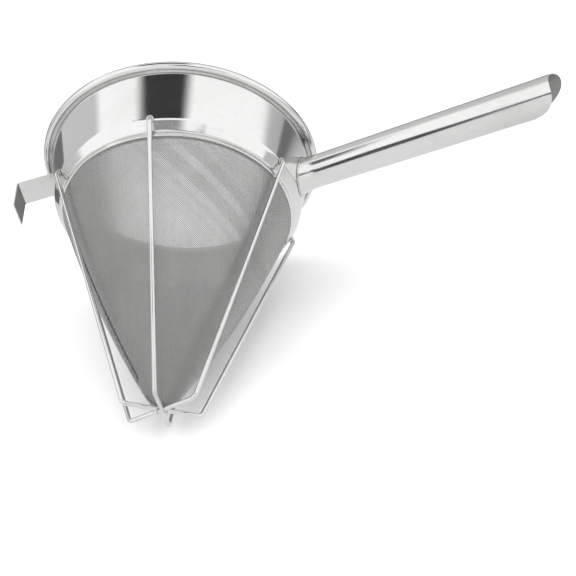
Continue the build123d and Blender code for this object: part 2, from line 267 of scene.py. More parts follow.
class NodeBench:
    """Places nodes in one node tree and joins them, for the groups and the materials."""

    def __init__(self, tree: bpy.types.NodeTree) -> None:
        """Keeps the tree that the nodes go into."""
        self.tree = tree

    def add(self, kind: str, **settings: object) -> bpy.types.Node:
        """Adds a node.

        Args:
            kind: the node's type name.
            settings: properties of the node, by name.

        Returns:
            The new node.
        """
        node = self.tree.nodes.new(kind)
        for key, value in settings.items():
            setattr(node, key, value)
        return node

    def join(self, source: Socket, target: Socket) -> None:
        """Joins an output to an input."""
        self.tree.links.new(source, target)

    def sum_of(
        self, operation: str, first: Socket | float, second: Socket | float = 0.0
    ) -> Socket:
        """Works out one sum.

        Args:
            operation: the Math node's operation.
            first: a socket or a number.
            second: a socket or a number, which sums of one value ignore.

        Returns:
            The result's socket.
        """
        node = self.add("ShaderNodeMath", operation=operation)
        for slot, value in zip(node.inputs, (first, second)):
            if isinstance(value, Socket):
                self.join(value, slot)
            else:
                slot.default_value = value
        return node.outputs[0]

    def noise(self, place: Socket, scale: Socket, detail: float) -> Socket:
        """Adds a noise pattern.

        Args:
            place: the coordinates it is read at.
            scale: the socket of its scale.
            detail: its number of octaves.

        Returns:
            The noise value's socket, about 0.5 on average.
        """
        node = self.add("ShaderNodeTexNoise")
        self.join(place, node.inputs["Vector"])
        node.inputs["Detail"].default_value = detail
        self.join(scale, node.inputs["Scale"])
        return node.outputs["Fac"]

    def vector(
        self, operation: str, first: Socket | Triple | Vector, second: Socket | Triple | Vector
    ) -> bpy.types.Node:
        """Works out one sum of vectors.

        Args:
            operation: the Vector Math node's operation.
            first: a socket or a vector.
            second: a socket or a vector.

        Returns:
            The node, with the outputs Vector and Value.
        """
        node = self.add("ShaderNodeVectorMath", operation=operation)
        for slot, value in zip(node.inputs, (first, second)):
            if isinstance(value, Socket):
                self.join(value, slot)
            else:
                slot.default_value = value
        return node

    def colours(self, share: Socket, first: Socket | Triple, second: Triple) -> Socket:
        """Mixes two colours.

        Args:
            share: the mask's socket, 1 where the second colour is.
            first: a socket or a colour.
            second: a colour.

        Returns:
            The mixed colour's socket.
        """
        node = self.add("ShaderNodeMix", data_type="RGBA")
        self.join(share, node.inputs[MIX_SHARE])
        if isinstance(first, Socket):
            self.join(first, node.inputs[MIX_FIRST])
        else:
            node.inputs[MIX_FIRST].default_value = (*first, 1.0)
        node.inputs[MIX_SECOND].default_value = (*second, 1.0)
        return node.outputs[MIX_RESULT]

    def shaders(self, share: Socket, first: Socket, second: Socket) -> Socket:
        """Mixes two shaders.

        Args:
            share: the mask's socket, 1 where the second shader is.
            first: a shader's socket.
            second: a shader's socket.

        Returns:
            The mixed shader's socket.
        """
        node = self.add("ShaderNodeMixShader")
        for slot, value in zip(node.inputs, (share, first, second)):
            self.join(value, slot)
        return node.outputs["Shader"]

    def spread(self, value: Socket, low: float, high: float) -> Socket:
        """Stretches a value.

        Args:
            value: the socket to stretch.
            low: what becomes 0.
            high: what becomes 1.

        Returns:
            The stretched value, kept within 0 and 1.
        """
        node = self.add("ShaderNodeMapRange", interpolation_type="SMOOTHSTEP")
        self.join(value, node.inputs["Value"])
        node.inputs["From Min"].default_value = low
        node.inputs["From Max"].default_value = high
        return node.outputs["Result"]


def new_group(name: str, numbers: dict[str, float]) -> tuple[bpy.types.NodeTree, NodeBench]:
    """Starts a shader node group that reads a place and some numbers.

    Args:
        name: the group's name.
        numbers: its number inputs with their usual values.

    Returns:
        The group and a bench for its nodes.
    """
    group = bpy.data.node_groups.new(name, "ShaderNodeTree")
    group.interface.new_socket("Place", in_out="INPUT", socket_type="NodeSocketVector")
    for label, value in numbers.items():
        socket = group.interface.new_socket(label, in_out="INPUT", socket_type="NodeSocketFloat")
        socket.default_value = value
    return group, NodeBench(group)


def handling_group() -> bpy.types.NodeTree:
    """Builds the group for smudges and dull patches left by hands, cloths and hot water.

    Returns:
        A group that puts out the mask Wear, from 0 on clean steel to 1 on dulled steel.
    """
    usual = {"Smudge Scale": SteelFinish.smudge_scale, "Share": SteelFinish.smudge_share}
    group, bench = new_group("handling marks", usual)
    group.interface.new_socket("Wear", in_out="OUTPUT", socket_type="NodeSocketFloat")
    entry = bench.add("NodeGroupInput")
    leave = bench.add("NodeGroupOutput")
    broad = bench.noise(entry.outputs["Place"], entry.outputs["Smudge Scale"], BROAD_DETAIL)
    fine_scale = bench.sum_of("MULTIPLY", entry.outputs["Smudge Scale"], SPECK_SCALE_TIMES)
    fine = bench.noise(entry.outputs["Place"], fine_scale, FINE_DETAIL)
    patches = bench.spread(broad, *PATCH_SPREAD)
    specks = bench.sum_of("MULTIPLY", bench.spread(fine, *SPECK_SPREAD), SPECK_SHARE)
    both = bench.sum_of("ADD", patches, specks)
    wear = bench.sum_of("MULTIPLY", both, entry.outputs["Share"])
    bench.join(wear, leave.inputs["Wear"])
    return group


def polish_group() -> bpy.types.NodeTree:
    """Builds the group for fine polishing lines across one direction.

    Returns:
        A group that puts out Lines, a height from 0 to 1 that changes fast along Place's X.
    """
    group, bench = new_group("polishing lines", {"Line Scale": BAND_MIRROR.mark_scale})
    group.interface.new_socket("Lines", in_out="OUTPUT", socket_type="NodeSocketFloat")
    entry = bench.add("NodeGroupInput")
    leave = bench.add("NodeGroupOutput")
    squeeze = bench.vector("MULTIPLY", entry.outputs["Place"], LINE_SQUEEZE)
    lines = bench.noise(squeeze.outputs["Vector"], entry.outputs["Line Scale"], FINE_DETAIL)
    bench.join(lines, leave.inputs["Lines"])
    return group


def inner_group() -> bpy.types.NodeTree:
    """Builds the group that tells the inner face of a round sheet from its outer face.

    Returns:
        A group that puts out Inside, 1 where the face looks towards Axis and lies below Reach.
    """
    group, bench = new_group("inner face", {"Reach": WHOLE_REACH, "Inwards": ShadedInnerSide.inwards})
    for label in ("Facing", "Root", "Axis"):
        group.interface.new_socket(label, in_out="INPUT", socket_type="NodeSocketVector")
    group.interface.new_socket("Inside", in_out="OUTPUT", socket_type="NodeSocketFloat")
    entry = bench.add("NodeGroupInput")
    leave = bench.add("NodeGroupOutput")
    shift = bench.vector("SUBTRACT", entry.outputs["Place"], entry.outputs["Root"])
    run = bench.vector("DOT_PRODUCT", shift.outputs["Vector"], entry.outputs["Axis"])
    back = bench.add("ShaderNodeVectorMath", operation="SCALE")
    bench.join(entry.outputs["Axis"], back.inputs[0])
    bench.join(run.outputs["Value"], back.inputs["Scale"])
    away = bench.vector("SUBTRACT", shift.outputs["Vector"], back.outputs["Vector"])
    unit = bench.add("ShaderNodeVectorMath", operation="NORMALIZE")
    bench.join(away.outputs["Vector"], unit.inputs[0])
    facing = bench.vector("DOT_PRODUCT", unit.outputs["Vector"], entry.outputs["Facing"])
    inwards = bench.sum_of("LESS_THAN", facing.outputs["Value"], entry.outputs["Inwards"])
    below = bench.sum_of("LESS_THAN", run.outputs["Value"], entry.outputs["Reach"])
    bench.join(bench.sum_of("MULTIPLY", inwards, below), leave.inputs["Inside"])
    return group


def ripple_group() -> bpy.types.NodeTree:
    """Builds the group for the cooled ripples of a weld.

    Returns:
        A group that puts out Ripple, a height from 0 to 1.
    """
    group, bench = new_group("weld ripples", {"Ripple Scale": SteelFinish.ripple_scale})
    group.interface.new_socket("Ripple", in_out="OUTPUT", socket_type="NodeSocketFloat")
    entry = bench.add("NodeGroupInput")
    leave = bench.add("NodeGroupOutput")
    ripples = bench.noise(entry.outputs["Place"], entry.outputs["Ripple Scale"], BROAD_DETAIL)
    bench.join(ripples, leave.inputs["Ripple"])
    return group


class FinishShop:
    """Makes the steel materials from the shared node groups, each finish once."""

    def __init__(self) -> None:
        """Builds the groups."""
        self.inner = inner_group()
        self.handling = handling_group()
        self.polish = polish_group()
        self.ripples = ripple_group()
        self.made: dict[str, bpy.types.Material] = {}

    def place(self, bench: NodeBench, marks: Marks) -> Socket:
        """Gives the coordinates that the polishing lines cross along X.

        Args:
            bench: the material's bench.
            marks: which way the marks run.

        Returns:
            A vector socket.
        """
        here = bench.add("ShaderNodeTexCoord").outputs["Object"]
        if marks is Marks.EVERY_WAY:
            return here
        if marks is Marks.ALONG_HANDLE:
            turn = bench.add("ShaderNodeMapping", vector_type="POINT")
            turn.inputs["Rotation"].default_value = (0.0, HANDLE_RISE, math.pi / 2)
            bench.join(here, turn.inputs["Vector"])
            return turn.outputs["Vector"]
        split = bench.add("ShaderNodeSeparateXYZ")
        bench.join(here, split.inputs["Vector"])
        x2 = bench.sum_of("MULTIPLY", split.outputs["X"], split.outputs["X"])
        y2 = bench.sum_of("MULTIPLY", split.outputs["Y"], split.outputs["Y"])
        radius = bench.sum_of("SQRT", bench.sum_of("ADD", x2, y2))
        across = bench.sum_of("ADD", radius, split.outputs["Z"])
        join = bench.add("ShaderNodeCombineXYZ")
        bench.join(across, join.inputs["X"])
        bench.join(split.outputs["X"], join.inputs["Y"])
        bench.join(split.outputs["Y"], join.inputs["Z"])
        return join.outputs["Vector"]

    def material(self, finish: SteelFinish) -> bpy.types.Material:
        """Makes or finds the material of a finish.

        Args:
            finish: the finish to make.

        Returns:
            The material.
        """
        if finish.name in self.made:
            return self.made[finish.name]
        made = bpy.data.materials.new(finish.name)
        made.use_nodes = True
        bench = NodeBench(made.node_tree)
        steel = made.node_tree.nodes["Principled BSDF"]
        steel.inputs["Metallic"].default_value = 1.0
        here = bench.add("ShaderNodeTexCoord").outputs["Object"]
        handling = bench.add("ShaderNodeGroup", node_tree=self.handling)
        bench.join(here, handling.inputs["Place"])
        handling.inputs["Smudge Scale"].default_value = finish.smudge_scale
        handling.inputs["Share"].default_value = finish.smudge_share
        wear = handling.outputs["Wear"]
        polish = bench.add("ShaderNodeGroup", node_tree=self.polish)
        bench.join(self.place(bench, finish.marks), polish.inputs["Place"])
        polish.inputs["Line Scale"].default_value = finish.mark_scale
        lines = polish.outputs["Lines"]
        self.colour(bench, finish, wear, lines, steel)
        self.sheen(bench, finish, wear, lines, steel)
        self.relief(bench, finish, here, lines, steel)
        # Painted shade: a darker tint on the inner face, where the finish has one
        if finish.inner:
            self.paint_inner_shade(bench, finish.inner, here, steel)
        self.made[finish.name] = made
        return made

    def colour(
        self,
        bench: NodeBench,
        finish: SteelFinish,
        wear: Socket,
        lines: Socket,
        steel: bpy.types.Node,
    ) -> None:
        """Mixes the clean and the worn tint by the wear and a little by the lines.

        Args:
            bench: the material's bench.
            finish: the finish.
            wear: the handling mask.
            lines: the polishing lines.
            steel: the shader.
        """
        deep = bench.sum_of("MULTIPLY", bench.spread(lines, *LINE_TINT_SPREAD), LINE_TINT_SHARE)
        share = bench.sum_of("ADD", wear, deep)
        bench.join(bench.colours(share, finish.tint, finish.worn_tint), steel.inputs["Base Color"])

    def sheen(
        self,
        bench: NodeBench,
        finish: SteelFinish,
        wear: Socket,
        lines: Socket,
        steel: bpy.types.Node,
    ) -> None:
        """Sets how rough the steel is, duller where it is worn and in the deeper lines.

        Args:
            bench: the material's bench.
            finish: the finish.
            wear: the handling mask.
            lines: the polishing lines.
            steel: the shader.
        """
        span = finish.worn_roughness - finish.roughness
        dull = bench.sum_of("MULTIPLY", wear, span)
        deep = bench.spread(lines, *LINE_DULL_SPREAD)
        scratch = bench.sum_of("MULTIPLY", deep, span * LINE_DULL_SHARE)
        total = bench.sum_of("ADD", bench.sum_of("ADD", dull, scratch), finish.roughness)
        bench.join(total, steel.inputs["Roughness"])

    def paint_inner_shade(
        self,
        bench: NodeBench,
        inner: ShadedInnerSide,
        here: Socket,
        steel: bpy.types.Node,
    ) -> None:
        """Paints shade on the inner face as a darker tint than the outer face's, and makes it
        rougher.

        Args:
            bench: the material's bench.
            inner: where the inner face is and how it looks.
            here: the object coordinates.
            steel: the shader, with its colour and roughness joined already.
        """
        mask = bench.add("ShaderNodeGroup", node_tree=self.inner)
        bench.join(here, mask.inputs["Place"])
        bench.join(here.node.outputs["Normal"], mask.inputs["Facing"])
        mask.inputs["Root"].default_value = inner.root
        mask.inputs["Axis"].default_value = inner.axis
        mask.inputs["Reach"].default_value = inner.reach
        mask.inputs["Inwards"].default_value = inner.inwards
        inside = mask.outputs["Inside"]
        outer_tint = steel.inputs["Base Color"].links[0].from_socket
        # Painted shade: the inner face takes the darker tint
        bench.join(bench.colours(inside, outer_tint, inner.tint), steel.inputs["Base Color"])
        outside = steel.inputs["Roughness"].links[0].from_socket
        rest = bench.sum_of("MULTIPLY", outside, bench.sum_of("SUBTRACT", 1.0, inside))
        rough = bench.sum_of("ADD", rest, bench.sum_of("MULTIPLY", inside, inner.roughness))
        bench.join(rough, steel.inputs["Roughness"])

    def relief(
        self,
        bench: NodeBench,
        finish: SteelFinish,
        here: Socket,
        lines: Socket,
        steel: bpy.types.Node,
    ) -> None:
        """Adds the fine relief of the lines, or of a weld's ripples.

        Args:
            bench: the material's bench.
            finish: the finish.
            here: the object coordinates.
            lines: the polishing lines.
            steel: the shader.
        """
        height = lines
        depth = finish.mark_height
        if finish.ripple_height > 0:
            ripples = bench.add("ShaderNodeGroup", node_tree=self.ripples)
            bench.join(here, ripples.inputs["Place"])
            ripples.inputs["Ripple Scale"].default_value = finish.ripple_scale
            height = ripples.outputs["Ripple"]
            depth = finish.ripple_height
        if depth > 0:
            bump = bench.add("ShaderNodeBump")
            bump.inputs["Distance"].default_value = depth
            bench.join(height, bump.inputs["Height"])
            bench.join(bump.outputs["Normal"], steel.inputs["Normal"])


def dress(node: str, material: bpy.types.Material) -> None:
    """Gives a carried-over node its material.

    Args:
        node: the node's name.
        material: its finish.
    """
    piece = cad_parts[node]
    if not piece.data.materials:
        piece.data.materials.append(material)
    for place in piece.material_slots:
        place.material = material
    log.info("%s: %s", node, material.name)


@dataclass
class SteelParts:
    """The pieces of rigid steel, which keep their own meshes and get their finishes here."""

    shop: FinishShop
    leg_names: tuple[str, ...] = (
        "front",
        "back",
        "right_front",
        "left_back",
        "left_front",
        "right_back",
    )
    wire_names: tuple[str, ...] = ("front_back", "right_front", "left_front")

    def finishes(self) -> dict[str, SteelFinish]:
        """Lists every node of rigid steel with its finish.

        Returns:
            Finishes by node name.
        """
        chosen = {
            "rim_band": BAND_MIRROR,
            "rim_wire": HIDDEN_STEEL,
            "mesh_clamp_ring": RING_STEEL,
            "handle_tube": HANDLE_STEEL,
            "handle_neck": HANDLE_STEEL,
            "handle_weld": WELD_STEEL,
            "star_weld": WELD_STEEL,
            "pot_hook": HOOK_STEEL,
            "hook_spot_weld_front": WELD_STEEL,
            "hook_spot_weld_back": WELD_STEEL,
            # The threads replace both solids of the cloth, which keep a finish of their own
            "mesh_cone": CLOTH_STEEL,
            "mesh_seam": CLOTH_STEEL,
        }
        for name in self.wire_names:
            chosen["guard_wire_" + name] = WIRE_STEEL
        for name in self.leg_names:
            chosen["leg_weld_" + name] = WELD_STEEL
        return chosen

    def dress_all(self) -> None:
        """Gives every node its finish."""
        for node, finish in self.finishes().items():
            dress(node, self.shop.material(finish))


@dataclass
class ConeProfile:
    """The cone's side in a plane through its axis: a ball at the tip, a long arc and the hem."""

    waist: tuple[float, float] = (48.0 * MM, 84.0 * MM)
    low: tuple[float, float] = (11.1 * MM, 11.0 * MM)
    tip_radius: float = 13.2 * MM
    hem_height: float = 3.2 * MM
    hem_radius: float = field(init=False)
    hem_foot: float = field(init=False)
    centre_r: float = field(init=False)
    centre_z: float = field(init=False)
    big: float = field(init=False)
    tip_z: float = field(init=False)
    touch_angle: float = field(init=False)
    hem_angle: float = field(init=False)
    ball_length: float = field(init=False)
    side_length: float = field(init=False)
    length: float = field(init=False)

    def __post_init__(self) -> None:
        """Takes the hem's place from the frame, and finds the side's circle and the tip's ball."""
        _, high_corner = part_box("mesh_cone")
        self.hem_radius = high_corner[0]
        self.hem_foot = high_corner[2] - self.hem_height
        (ax, ay), (bx, by), (cx, cy) = (self.hem_radius, self.hem_foot), self.waist, self.low
        det = 2 * (ax * (by - cy) + bx * (cy - ay) + cx * (ay - by))
        a2, b2, c2 = ax * ax + ay * ay, bx * bx + by * by, cx * cx + cy * cy
        self.centre_r = (a2 * (by - cy) + b2 * (cy - ay) + c2 * (ay - by)) / det
        self.centre_z = (a2 * (cx - bx) + b2 * (ax - cx) + c2 * (bx - ax)) / det
        self.big = math.hypot(ax - self.centre_r, ay - self.centre_z)
        reach = self.big - self.tip_radius
        self.tip_z = self.centre_z - math.sqrt(reach**2 - self.centre_r**2)
        self.touch_angle = math.atan2(self.tip_z - self.centre_z, -self.centre_r)
        self.hem_angle = math.asin((self.hem_foot - self.centre_z) / self.big)
        self.ball_length = self.tip_radius * (self.touch_angle + math.pi / 2)
        self.side_length = self.big * (self.hem_angle - self.touch_angle)
        self.length = self.ball_length + self.side_length + self.hem_height

    def at(self, run: float, inset: float) -> tuple[float, float]:
        """Finds the point at a distance up the outer face, set inwards.

        Args:
            run: distance along the face from the tip's lowest point.
            inset: how far inwards from the outer face.

        Returns:
            Radius and height.
        """
        if run < self.ball_length:
            angle = run / self.tip_radius - math.pi / 2
            reach = self.tip_radius - inset
            return reach * math.cos(angle), self.tip_z + reach * math.sin(angle)
        if run < self.ball_length + self.side_length:
            angle = self.touch_angle + (run - self.ball_length) / self.big
            reach = self.big - inset
            return self.centre_r + reach * math.cos(angle), self.centre_z + reach * math.sin(angle)
        over = run - self.ball_length - self.side_length
        return self.hem_radius - inset, self.hem_foot + over


class ThreadWay(Enum):
    """The two directions of threads in the flat cloth."""

    WARP = 0
    WEFT = 1


@dataclass
class WovenCone:
    """The strainer cloth, rolled from a flat sector in which every thread runs straight.

    Each thread passes over and under the threads that it crosses. The lap, where the sector's
    two edges meet, is a second strip of the same cloth outside the first.
    """

    shop: FinishShop
    profile: ConeProfile
    pitch: float = 0.95 * MM
    thread: float = 0.61 * MM
    middle_inset: float = 0.3 * MM
    seam_azimuth: float = math.radians(-159.0)
    seam_width: float = 7.0 * MM
    seam_lift: float = 0.38 * MM
    seam_top: float = 166.0 * MM
    seam_foot: float = 22.0 * MM
    parts_per_way: int = 3
    sector: float = field(init=False)
    wave: float = field(init=False)

    def __post_init__(self) -> None:
        """Works out the flat sector's angle and how far a thread bends out of its layer."""
        self.sector = 2 * math.pi * self.profile.hem_radius / self.profile.length
        self.wave = self.thread / 2

    def on_cone(self, u: float, v: float, side: float, outward: float) -> Vector:
        """Rolls a point of the flat sector onto the cone.

        Args:
            u: the flat point's first coordinate, along the sector's middle line.
            v: its second coordinate.
            side: 1 or -1, over or under the crossing thread.
            outward: how far outside the cloth's middle the layer lies.

        Returns:
            The point in space.
        """
        run = math.hypot(u, v)
        azimuth = self.seam_azimuth + math.pi + math.atan2(v, u) * 2 * math.pi / self.sector
        radius, height = self.profile.at(run, self.middle_inset - outward - side * self.wave)
        return Vector((radius * math.cos(azimuth), radius * math.sin(azimuth), height))

    def crossing(self, way: ThreadWay, row: int, step: int) -> Triple:
        """Gives one crossing of a thread.

        Args:
            way: warp or weft.
            row: which thread.
            step: which crossing on it.

        Returns:
            The flat coordinates and the side, over or under.
        """
        half = (row + 0.5) * self.pitch
        along = (step + 0.5) * self.pitch
        over = 1.0 if (row + step) % 2 == way.value else -1.0
        if way is ThreadWay.WARP:
            return half, along, over
        return along, half, over

    def runs(self, way: ThreadWay, row: int) -> Iterator[list[Triple]]:
        """Cuts a thread to the sector.

        Args:
            way: warp or weft.
            row: which thread.

        Yields:
            The crossings of each unbroken run of the thread.
        """
        reach = int(self.profile.length / self.pitch) + 1
        current: list[Triple] = []
        for step in range(-reach, reach):
            u, v, over = self.crossing(way, row, step)
            in_reach = math.hypot(u, v) <= self.profile.length
            if in_reach and abs(math.atan2(v, u)) <= self.sector / 2:
                current.append((u, v, over))
            elif current:
                yield current
                current = []
        if current:
            yield current

    def weave(self, name: str, paths: list[list[Vector]]) -> bpy.types.Object:
        """Makes one piece of many threads.

        Args:
            name: the piece's name.
            paths: the threads' points.

        Returns:
            The piece, linked, with a mesh of thin tubes.
        """
        curve = bpy.data.curves.new(name, "CURVE")
        curve.dimensions = "3D"
        curve.bevel_depth = self.thread / 2
        curve.bevel_resolution = 0
        for points in paths:
            spline = curve.splines.new("POLY")
            spline.points.add(len(points) - 1)
            flat = [value for point in points for value in (*point, 1.0)]
            spline.points.foreach_set("co", flat)
        holder = bpy.data.objects.new(name + "_path", curve)
        bpy.context.scene.collection.objects.link(holder)
        bpy.context.view_layer.update()
        mesh = bpy.data.meshes.new_from_object(holder)
        bpy.data.objects.remove(holder)
        bpy.data.curves.remove(curve)
        mesh.name = name
        mesh.shade_smooth()
        piece = bpy.data.objects.new(name, mesh)
        bpy.context.scene.collection.objects.link(piece)
        piece.data.materials.clear()
        piece.data.materials.append(self.shop.material(CLOTH_STEEL))
        log.info("%s: %d faces", name, len(mesh.polygons))
        return piece

    def in_lap(self, point: Vector) -> bool:
        """Tells whether a point of the cloth belongs to the lap strip.

        Args:
            point: the point.

        Returns:
            True within the strip's width and between its two ends.
        """
        azimuth = math.atan2(point.y, point.x) - self.seam_azimuth
        across = math.hypot(point.x, point.y) * math.sin(azimuth)
        beside = abs(across) <= self.seam_width / 2 and math.cos(azimuth) > 0
        return beside and self.seam_foot <= point.z <= self.seam_top

    def rolled(self, way: ThreadWay, outward: float) -> list[list[Vector]]:
        """Rolls every thread of one direction onto the cone.

        Args:
            way: warp or weft.
            outward: how far outside the cloth's middle.

        Returns:
            The points of every run.
        """
        reach = int(self.profile.length / self.pitch) + 1
        paths = []
        for row in range(-reach, reach):
            for run in self.runs(way, row):
                if len(run) > 1:
                    paths.append([self.on_cone(u, v, over, outward) for u, v, over in run])
        return paths

    def lap_paths(self) -> list[list[Vector]]:
        """Gives the short threads of the lap strip.

        Returns:
            The points of every thread in the strip.
        """
        found = []
        for way in ThreadWay:
            for path in self.rolled(way, self.seam_lift + self.thread):
                current: list[Vector] = []
                for point in path:
                    if self.in_lap(point):
                        current.append(point)
                    elif len(current) > 1:
                        found.append(current)
                        current = []
                    else:
                        current.clear()
                if len(current) > 1:
                    found.append(current)
        return found

    def build(self) -> None:
        """Makes the cloth and its lap, in place of the plain cone and the plain strip."""
        for way in ThreadWay:
            paths = self.rolled(way, 0.0)
            for part in range(self.parts_per_way):
                name = f"cloth_{way.name.lower()}_{part + 1}"
                piece = self.weave(name, paths[part::self.parts_per_way])
                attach(piece, "root")
                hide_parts("mesh_cone")
        lap = self.weave("cloth_lap", self.lap_paths())
        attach(lap, "root")
        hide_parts("mesh_seam")


@dataclass(frozen=True)
class Card:
    """A dark card that hangs level over the strainer, soft at its two sides.

    Its sides are places along the handle's level direction, and its depths are places away from
    the camera. Share is how dark it is in its middle.
    """

    name: str
    sides: tuple[float, float]
    depths: tuple[float, float]
    softness: float
    share: float


CARDS = (
    Card("overhead card", sides=(-0.16, 0.17), depths=(0.06, 0.26), softness=0.08, share=1.0),
    Card("near card", sides=(-0.14, 0.20), depths=(-0.19, -0.10), softness=0.10, share=0.75),
    Card("boom card", sides=(0.20, 0.62), depths=(-0.42, -0.27), softness=0.05, share=1.0),
    Card("side card", sides=(0.21, 0.38), depths=(-0.28, -0.21), softness=0.05, share=1.0),
)


@dataclass
class Studio:
    """The floor, the room, the lights and the camera, none of which is part of the strainer.

    A fade is the pair of cosines, or on the floor the pair of distances, between which a shade
    grows from nothing to its full share. Greys and shares are brightnesses that the steel mirrors.
    """

    camera_place: Vector = field(default_factory=lambda: Vector((0.23769, -0.77759, -0.55931)))
    camera_ahead: Vector = field(default_factory=lambda: Vector((-0.15094, 0.75740, 0.63526)))
    camera_down: Vector = field(default_factory=lambda: Vector((-0.10912, 0.62593, -0.77221)))
    lens: float = 93.88
    sensor: float = 36.0
    floor_up: Vector = field(default_factory=lambda: Vector((0.0, -0.9398, 0.3417)).normalized())
    floor_size: float = 6.0
    floor_gap: float = 0.3 * MM
    floor_tint: Triple = (0.93, 0.93, 0.93)
    side_way: Vector = field(default_factory=lambda: Vector((1.0, 0.0, 0.0)))
    room_tint: Triple = (1.0, 1.0, 1.0)
    pale: float = 1.15
    left_grey: float = 0.65
    left_fade: tuple[float, float] = (0.86, 0.95)
    left_turn: float = 0.5
    middle_sides: tuple[float, float] = (0.45, 0.65)
    corner_fade: tuple[float, float] = (0.43, 0.50)
    corner_share: float = 0.55
    far_fade: tuple[float, float] = (0.15, 0.55)
    far_share: float = 0.42
    low_fade: tuple[float, float] = (0.38, 0.46)
    low_share: float = 0.24
    dark_way: Vector = field(default_factory=lambda: Vector((0.20, -0.76, -0.62)))
    dark_angles: tuple[float, float] = (math.radians(7.0), math.radians(12.0))
    dark_share: float = 0.95
    card_height: float = 0.50
    card_glow: float = 0.045
    floor_lift: float = 0.48
    floor_mirrored: float = 0.88
    floor_side_mirrored: float = 0.58
    floor_far_mirrored: float = 0.18
    floor_near_side: float = 0.30
    floor_far_side: float = 0.80
    floor_front_share: float = 0.9
    floor_spread: float = 0.35
    floor_near_depth: float = 0.24
    floor_far_depth: float = 0.44
    light_distance: float = 1.6
    light_size: float = 1.6
    light_rise: float = 1.2
    light_power: float = 3.0
    clip_start: float = 0.01
    clip_end: float = 50.0

    def floor_point(self) -> Vector:
        """Finds the lowest place of the strainer above the leaning floor.

        Returns:
            A point on the floor.
        """
        lowest = min(
            self.floor_up.dot(vertex.co)
            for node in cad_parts.values()
            for vertex in node.data.vertices
        )
        return self.floor_up * (lowest - self.floor_gap)

    def make_floor(self) -> None:
        """Lays the pale floor under the strainer, seen from above only."""
        shape = bmesh.new()
        bmesh.ops.create_grid(shape, x_segments=1, y_segments=1, size=self.floor_size / 2)
        turn = self.floor_up.to_track_quat("Z", "Y").to_matrix().to_4x4()
        place = Matrix.Translation(self.floor_point()) @ turn
        bmesh.ops.transform(shape, matrix=place, verts=shape.verts)
        mesh = bpy.data.meshes.new("floor")
        shape.to_mesh(mesh)
        shape.free()
        floor = bpy.data.objects.new("floor", mesh)
        bpy.context.scene.collection.objects.link(floor)
        floor.data.materials.append(self.floor_material())
        floor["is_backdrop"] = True

    def floor_material(self) -> bpy.types.Material:
        """Makes the pale floor's material, clear from below and dimmer where the steel mirrors it.

        Returns:
            The material.
        """
        made = bpy.data.materials.new("pale floor")
        made.use_nodes = True
        bench = NodeBench(made.node_tree)
        made.node_tree.nodes.clear()
        pale = bench.add("ShaderNodeBsdfDiffuse")
        pale.inputs["Color"].default_value = (*self.floor_tint, 1.0)
        dim = bench.add("ShaderNodeEmission")
        bench.join(self.floor_brightness(bench), dim.inputs["Strength"])
        glossy = bench.add("ShaderNodeLightPath").outputs["Is Glossy Ray"]
        top = bench.shaders(glossy, pale.outputs["BSDF"], dim.outputs["Emission"])
        clear = bench.add("ShaderNodeBsdfTransparent")
        below = bench.add("ShaderNodeNewGeometry").outputs["Backfacing"]
        leave = bench.add("ShaderNodeOutputMaterial")
        bench.join(bench.shaders(below, top, clear.outputs["BSDF"]), leave.inputs["Surface"])
        return made

    def floor_brightness(self, bench: NodeBench) -> Socket:
        """Works out how bright the steel mirrors each place of the floor.

        Args:
            bench: the floor material's bench.

        Returns:
            A strength, pale near and in front of the strainer and greyer far off and behind it.
        """
        place = bench.add("ShaderNodeTexCoord").outputs["Object"]
        across = bench.sum_of("ABSOLUTE", self.along(bench, place, self.side_way))
        ahead = self.along(bench, place, self.floor_ahead())
        front = bench.sum_of("MULTIPLY", ahead, self.floor_front_share)
        leaning = bench.sum_of("ADD", across, front)
        beside = bench.spread(leaning, self.floor_near_side, self.floor_far_side)
        spread = bench.sum_of("MULTIPLY", across, self.floor_spread)
        inner = bench.sum_of("SUBTRACT", ahead, spread)
        behind = bench.spread(inner, self.floor_near_depth, self.floor_far_depth)
        side_share = self.floor_mirrored - self.floor_side_mirrored
        side_drop = bench.sum_of("MULTIPLY", beside, side_share)
        far_drop = bench.sum_of("MULTIPLY", behind, self.floor_mirrored - self.floor_far_mirrored)
        drop = bench.sum_of("MAXIMUM", side_drop, far_drop)
        return bench.sum_of("SUBTRACT", self.floor_mirrored, drop)

    def make_surroundings(self) -> None:
        """Makes the room, white to the camera and shaded where the steel mirrors it."""
        world = bpy.data.worlds.new("studio room")
        world.use_nodes = True
        bench = NodeBench(world.node_tree)
        back = world.node_tree.nodes["Background"]
        way = bench.add("ShaderNodeTexCoord").outputs["Generated"]
        mirrored = self.room_brightness(bench, way)
        path = bench.add("ShaderNodeLightPath")
        lift = bench.sum_of("MULTIPLY", path.outputs["Is Diffuse Ray"], self.floor_lift)
        lit = bench.sum_of("MULTIPLY", mirrored, bench.sum_of("ADD", lift, 1.0))
        seen = bench.sum_of("MAXIMUM", lit, path.outputs["Is Camera Ray"])
        bench.join(seen, back.inputs["Strength"])
        back.inputs["Color"].default_value = (*self.room_tint, 1.0)
        bpy.context.scene.world = world

